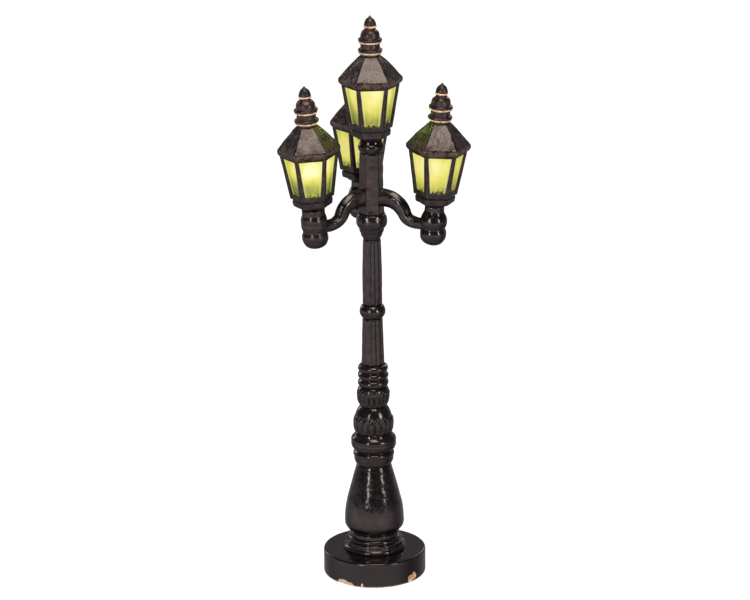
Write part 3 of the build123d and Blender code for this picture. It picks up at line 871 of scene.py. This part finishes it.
def cage():
    """Six-sided cage with an opening between every two corner bars."""
    rows = (CAGE_FOOT, SILL, PANE_TOP, CAGE_TOP)
    points = []
    index = {}
    for layer, inset in enumerate((0, CAGE_WALL)):
        for side in range(6):
            for row, height in enumerate(rows):
                half = (cage_radius(height) - inset / math.cos(math.pi / 6)) / 2
                for column, across in enumerate((-half, -opening(height), opening(height))):
                    index[layer, side, row, column] = len(points)
                    points.append(side_point(side, across, height, inset))
    faces = []

    def at(layer, side, row, column):
        return index[layer, (side + column // 3) % 6, row, column % 3]

    for side in range(6):
        for row in range(3):
            for column in range(3):
                if row == 1 and column == 1:
                    continue
                quad = [(row, column), (row, column + 1), (row + 1, column + 1),
                        (row + 1, column)]
                faces.append([at(0, side, r, c) for r, c in quad])
                faces.append([at(1, side, r, c) for r, c in reversed(quad)])
        for column in range(3):
            for row, order in ((0, 1), (3, -1)):
                rim = [at(0, side, row, column), at(1, side, row, column),
                       at(1, side, row, column + 1), at(0, side, row, column + 1)]
                faces.append(rim[::order])
        hole = [(1, 1), (1, 2), (2, 2), (2, 1)]
        for (r, c), (next_r, next_c) in zip(hole, hole[1:] + hole[:1]):
            faces.append([at(0, side, r, c), at(0, side, next_r, next_c),
                          at(1, side, next_r, next_c), at(1, side, r, c)])
    return points, faces


def joined(*shapes):
    """Several shapes as one."""
    points = []
    faces = []
    for more_points, more_faces in shapes:
        faces += [tuple(k + len(points) for k in face) for face in more_faces]
        points += more_points
    return points, faces


def lantern_frame(side, seed):
    """A lantern's cage on its stepped foot, as one uneven casting."""
    place = lantern_place(side)
    made = piece(f"frame_{side}", cage(), place)
    rounded(made, 0.22, 3, angle=25)
    dense(made, 2)
    baked(made)
    cage_points = [vertex.co / MM for vertex in made.data.vertices]
    cage_faces = [tuple(face.vertices) for face in made.data.polygons]
    tier = outline((BORE, -15.7), (2.6, -15.68), (3.4, -15.45, 0.1), (5.05, -14.6, -0.1),
                   (5.25, CAGE_FOOT - 0.45, 0.05), (4.95, CAGE_FOOT - 0.3),
                   (4.95, CAGE_FOOT + 0.2), (BORE, CAGE_FOOT + 0.2))
    tier_points, tier_faces = lathe(tier, hexagon(0.14))
    tier_points = [place @ point for point in tier_points]
    points, faces = joined((cage_points, cage_faces), (tier_points, tier_faces))
    mesh = bpy.data.meshes.new(made.name)
    mesh.from_pydata([point * MM for point in lumpy(points, 0.06, 1.7, seed)], [], faces)
    mesh.shade_smooth()
    mesh.materials.append(finishes["satin_enamel"])
    mesh.set_sharp_from_angle(angle=math.radians(50))
    made.data = mesh
    return made


def panes(side, finish):
    """Six panes standing just behind the bars."""
    low = SILL - 0.6
    high = PANE_TOP + 0.3
    sides = [(0, 1, 2, 3), (7, 6, 5, 4), (0, 4, 5, 1), (1, 5, 6, 2), (2, 6, 7, 3), (3, 7, 4, 0)]
    shapes = []
    for k in range(6):
        points = []
        for inset in (CAGE_WALL - 0.12, CAGE_WALL + 0.35):
            for height, sign in ((low, -1), (low, 1), (high, 1), (high, -1)):
                points.append(side_point(k, sign * (opening(height) + 0.3), height, inset))
        shapes.append((points, sides))
    made = piece(f"glazing_{side}", joined(*shapes), lantern_place(side), finish=finish)
    rounded(made, 0.1, 2)
    dense(made, 3)
    return baked(made)


# How much wider than drawn each roof came out of its mould
EAVE_GROWTH = {"top": 0.18, "left": -0.05, "right": 0.22, "back": 0.0}


def roof(side, seed):
    """Six-sided roof with a thick rounded eave, hollow underneath."""
    eave = EAVE_RADIUS + EAVE_GROWTH[side]
    profile = outline((6.1, CAGE_TOP), (7.55, CAGE_TOP), (eave, -0.45), (eave, 0.5, 0.04),
                      (2.7, ROOF_RISE, 0.15), (0.75, ROOF_RISE), (0.75, ROOF_RISE - 0.9),
                      (6.1, 0.1), spacing=0.18)
    points, faces = lathe(profile, hexagon(0.045))
    points = lumpy(points, 0.09, 2.2, seed)
    return piece(f"roof_{side}", (points, faces), lantern_place(side), finish=roof_enamel(side))


def finial(side, seed):
    """Turned finial: two flanges, a drum, a dome and a pointed bud."""
    profile = outline((0.4, 6.2), (2.55, 6.25), (2.5, 7.2), (3.0, 7.3), (3.0, 7.95, 0.16),
                      (2.5, 8.15), (2.44, 9.9), (2.92, 9.98), (2.92, 10.66, 0.16), (2.48, 10.85),
                      (2.42, 11.6, 0.04), (1.45, 12.95, 0.26), (1.28, 13.7), (1.55, 13.9),
                      (1.3, 15.1, 0.08), (0.5, 15.95, 0.12), (0.1, finial_rise), spacing=0.09)
    points, faces = lathe(profile, circle(80), bored=False)
    points = lumpy(points, 0.08, 1.1, seed)
    return piece(f"finial_{side}", (points, faces), lantern_place(side),
                 finish=finishes["finial_enamel"])


def ring_line(radius, height, thickness, seed):
    """A painted line round the finial, uneven in width and height."""
    points = []
    steps = 96
    sides = 12
    for x, y in circle(steps):
        around = Vector((x, y, 0))
        wander = noise.noise(around * 1.3 + Vector((seed, height, 0)))
        swell = 1 + 0.28 * noise.noise(around * 2.1 + Vector((0, seed, height)))
        middle = around * (radius + thickness * 0.8) + Vector((0, 0, height + 0.06 * wander))
        for out, up in circle(sides):
            offset = around * out + Vector((0, 0, up))
            points.append(middle + offset * thickness * swell)
    faces = []
    for k in range(steps):
        low = k * sides
        high = (k + 1) % steps * sides
        for j in range(sides):
            after = (j + 1) % sides
            faces.append((low + j, high + j, high + after, low + after))
    return points, faces


def rings(side, seed):
    """The three painted lines on a finial."""
    lines = [ring_line(2.5, 7.05, 0.27, seed), ring_line(2.46, 9.75, 0.27, seed + 1),
             ring_line(1.32, 13.72, 0.22, seed + 2)]
    return piece(f"finial_rings_{side}", joined(*lines), lantern_place(side))


# Each lantern's panes: height of the brightest light, how far it reaches above and below,
# strength, palest colour, and bearing of the side brightened with painted light, in degrees
PANE_LOOKS = {
    "top": (-2.4, 6.0, 9.5, 0.87, colour(255, 250, 168), -90),
    "left": (-4.4, 8.0, 5.6, 0.95, colour(255, 251, 190), -84),
    "right": (-4.5, 9.0, 10.0, 0.87, colour(250, 245, 160), -120),
    "back": (-6.8, 8.0, 7.0, 0.85, colour(240, 228, 140), -130),
}


def lantern(side, seed):
    """A whole lantern; its pieces take seeds from the given one upwards."""
    lantern_frame(side, seed)
    panes(side, pane_material(side, *PANE_LOOKS[side]))
    roof(side, seed + 1)
    finial(side, seed + 2)
    rings(side, seed + 3)


# ---- Underside and switch ----
def battery_cover():
    """Twist-off cover with a slot for a coin."""
    low, high = span("battery_cover")
    profile = outline((0.3, low), (COVER_RADIUS - 0.35, low), (COVER_RADIUS, low + 0.3, 0.1),
                      (COVER_RADIUS, high), (0.3, high), spacing=0.3)
    points, faces = lathe(profile, circle(160), bored=False)
    made = piece("battery_cover", (points, faces), body="cover")
    cut(made, box_shape(-4.5, 4.5, -0.7, 0.7, low - 1, low + 0.45))
    made.data.set_sharp_from_angle(angle=math.radians(40))
    return made


def switch_knob():
    """Slide switch's knob, with three grooves for a fingernail."""
    low, high = (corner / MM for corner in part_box("switch_knob"))
    shape = box_shape(low.x, high.x, low.y, high.y, low.z, high.z)
    made = piece("switch_knob", shape, body="knob")
    middle = (low.x + high.x) / 2
    grooves = [box_shape(middle + k - 0.09, middle + k + 0.09, high.y - 0.15, high.y + 1,
                         low.z - 1, high.z + 1) for k in (-0.5, 0, 0.5)]
    cut(made, *grooves)
    rounded(made, 0.05, 2)
    baked(made)
    made.data.set_sharp_from_angle(angle=math.radians(40))
    return made


foot()
post()
upper_column()
top_socket()
for arm_side in LANTERNS[1:]:
    arm(arm_side)
    socket(arm_side)
for number, lantern_side in enumerate(LANTERNS):
    lantern(lantern_side, 60 + 10 * number)
battery_cover()
switch_knob()

# CAD nodes that stay keep their shape and take a finished material
for node, made in nodes.items():
    if not made.hide_render:
        for slot in made.material_slots:
            slot.material = finishes[slot_of[node]]


# ---- Stage, lights and camera ----
def stage_floor():
    """Pale round floor, which the post's paint doesn't mirror."""
    mesh = bpy.data.meshes.new("floor")
    made = bmesh.new()
    bmesh.ops.create_circle(made, cap_ends=True, radius=3.0, segments=96)
    made.to_mesh(mesh)
    made.free()
    floor = bpy.data.objects.new("floor", mesh)
    bpy.context.scene.collection.objects.link(floor)
    look, tree, shader = new_material("pale_floor", Roughness=0.9, Emission_Strength=0.93)
    shader.inputs["Base Color"].default_value = (0.35, 0.35, 0.35, 1)
    shader.inputs["Emission Color"].default_value = (1, 1, 1, 1)
    mesh.materials.append(look)
    floor.visible_glossy = False
    floor.visible_diffuse = False


# Soft lights: bearing from the front and elevation in degrees, distance, width and height in
# metres, power, and colour
SOFTBOXES = {
    "left_box": (-33, 14, 0.6, 0.07, 0.26, 0.95, (1.0, 0.92, 0.87)),
    "right_box": (42, 14, 0.6, 0.07, 0.26, 0.8, (1.0, 0.92, 0.87)),
    "front_box": (4, 68, 0.8, 0.36, 0.50, 3.85, (1.0, 0.79, 0.68)),
    "left_back_box": (-140, 16, 0.8, 0.12, 0.40, 0.6, (1.0, 0.86, 0.78)),
    "right_back_box": (150, 25, 0.8, 0.10, 0.40, 0.5, (1.0, 0.9, 0.84)),
}


def softbox(name, degrees, elevation, distance, width, height, power, shade):
    """A soft light that faces the middle of the post."""
    light = bpy.data.lights.new(name, "AREA")
    light.shape = "RECTANGLE"
    light.size = width
    light.size_y = height
    light.energy = power
    light.color = shade
    made = bpy.data.objects.new(name, light)
    bpy.context.scene.collection.objects.link(made)
    a = math.radians(degrees)
    e = math.radians(elevation)
    back = Vector((math.sin(a) * math.cos(e), -math.cos(a) * math.cos(e), math.sin(e)))
    middle = (cad_box[0] + cad_box[1]) / 2
    made.location = middle + back * distance
    made.rotation_euler = (-back).to_track_quat("-Z", "Y").to_euler()


def surroundings():
    """White behind the post. What its paint mirrors is a pale table in front, in a dark room."""
    world = bpy.data.worlds.new("studio")
    bpy.context.scene.world = world
    world.use_nodes = True
    tree = world.node_tree
    split = add(tree, "SeparateXYZ", {"Vector": add(tree, "TexCoord").outputs["Generated"]})
    x, y, z = (split.outputs[axis] for axis in "XYZ")
    below = mapped(tree, z, 0.10, -0.22, smooth=True)
    near = mapped(tree, z, -0.20, -0.44, 1.0, 0.42, smooth=True)
    left_front = plus(tree, times(tree, x, -0.35), times(tree, y, -0.94))
    ahead = mapped(tree, left_front, -0.35, 0.6, 0.16, 1.0, smooth=True)
    table = times(tree, times(tree, below, near), ahead)
    behind = mapped(tree, y, 0.0, 0.8, smooth=True)
    walls = mixed(tree, behind, (0.055, 0.055, 0.066, 1), (0.19, 0.175, 0.2, 1))
    room = mixed(tree, table, walls, (1.42, 1.17, 1.17, 1))
    mirrored = tree.nodes["Background"]
    tree.links.new(room, mirrored.inputs["Color"])
    seen = add(tree, "Background", {"Color": (1, 1, 1, 1), "Strength": 1.0})
    seen_directly = add(tree, "LightPath").outputs["Is Camera Ray"]
    which = add(tree, "MixShader", {0: seen_directly, 1: mirrored.outputs[0], 2: seen.outputs[0]})
    tree.links.new(which.outputs[0], tree.nodes["World Output"].inputs["Surface"])


def pane_glow(side):
    """The green that the upper lantern's panes throw on a neighbour's roof."""
    top = lantern_place("top").translation
    roof_middle = lantern_place(side).translation + Vector((0, 0, 3))
    start = top.lerp(roof_middle, 0.42) + Vector((0, -1, 0))
    light = bpy.data.lights.new("pane_glow_" + side, "SPOT")
    light.energy = 0.016
    light.color = (0.5, 1.0, 0.2)
    light.spot_size = math.radians(75)
    light.spot_blend = 0.8
    light.shadow_soft_size = 2 * MM
    light.specular_factor = 0.0
    made = bpy.data.objects.new(light.name, light)
    bpy.context.scene.collection.objects.link(made)
    made.location = start * MM
    made.rotation_euler = (roof_middle - start).to_track_quat("-Z", "Y").to_euler()
    made.visible_camera = False
    made.visible_glossy = False


def photo_camera():
    """The camera looks down on the post from a little left of the front."""
    distance = 0.8
    height = 0.32425
    pitch = math.radians(17.31)
    roll = math.radians(-0.52)
    a = math.radians(CAMERA_BEARING)
    data = bpy.data.cameras.new("camera")
    data.sensor_width = 36
    data.lens = 155.41
    data.shift_x = 0.00345
    data.clip_start = 0.05
    data.clip_end = 20
    made = bpy.data.objects.new("camera", data)
    bpy.context.scene.collection.objects.link(made)
    made.location = (math.sin(a) * distance, -math.cos(a) * distance, height)
    turn = Matrix.Rotation(a, 4, "Z") @ Matrix.Rotation(math.pi / 2 - pitch, 4, "X")
    made.rotation_euler = (turn @ Matrix.Rotation(roll, 4, "Z")).to_euler()
    bpy.context.scene.camera = made


stage_floor()
surroundings()
for box_name, settings in SOFTBOXES.items():
    softbox(box_name, *settings)
for glow_side in ("left", "right"):
    pane_glow(glow_side)
photo_camera()
bpy.context.scene.view_settings.view_transform = "Standard"
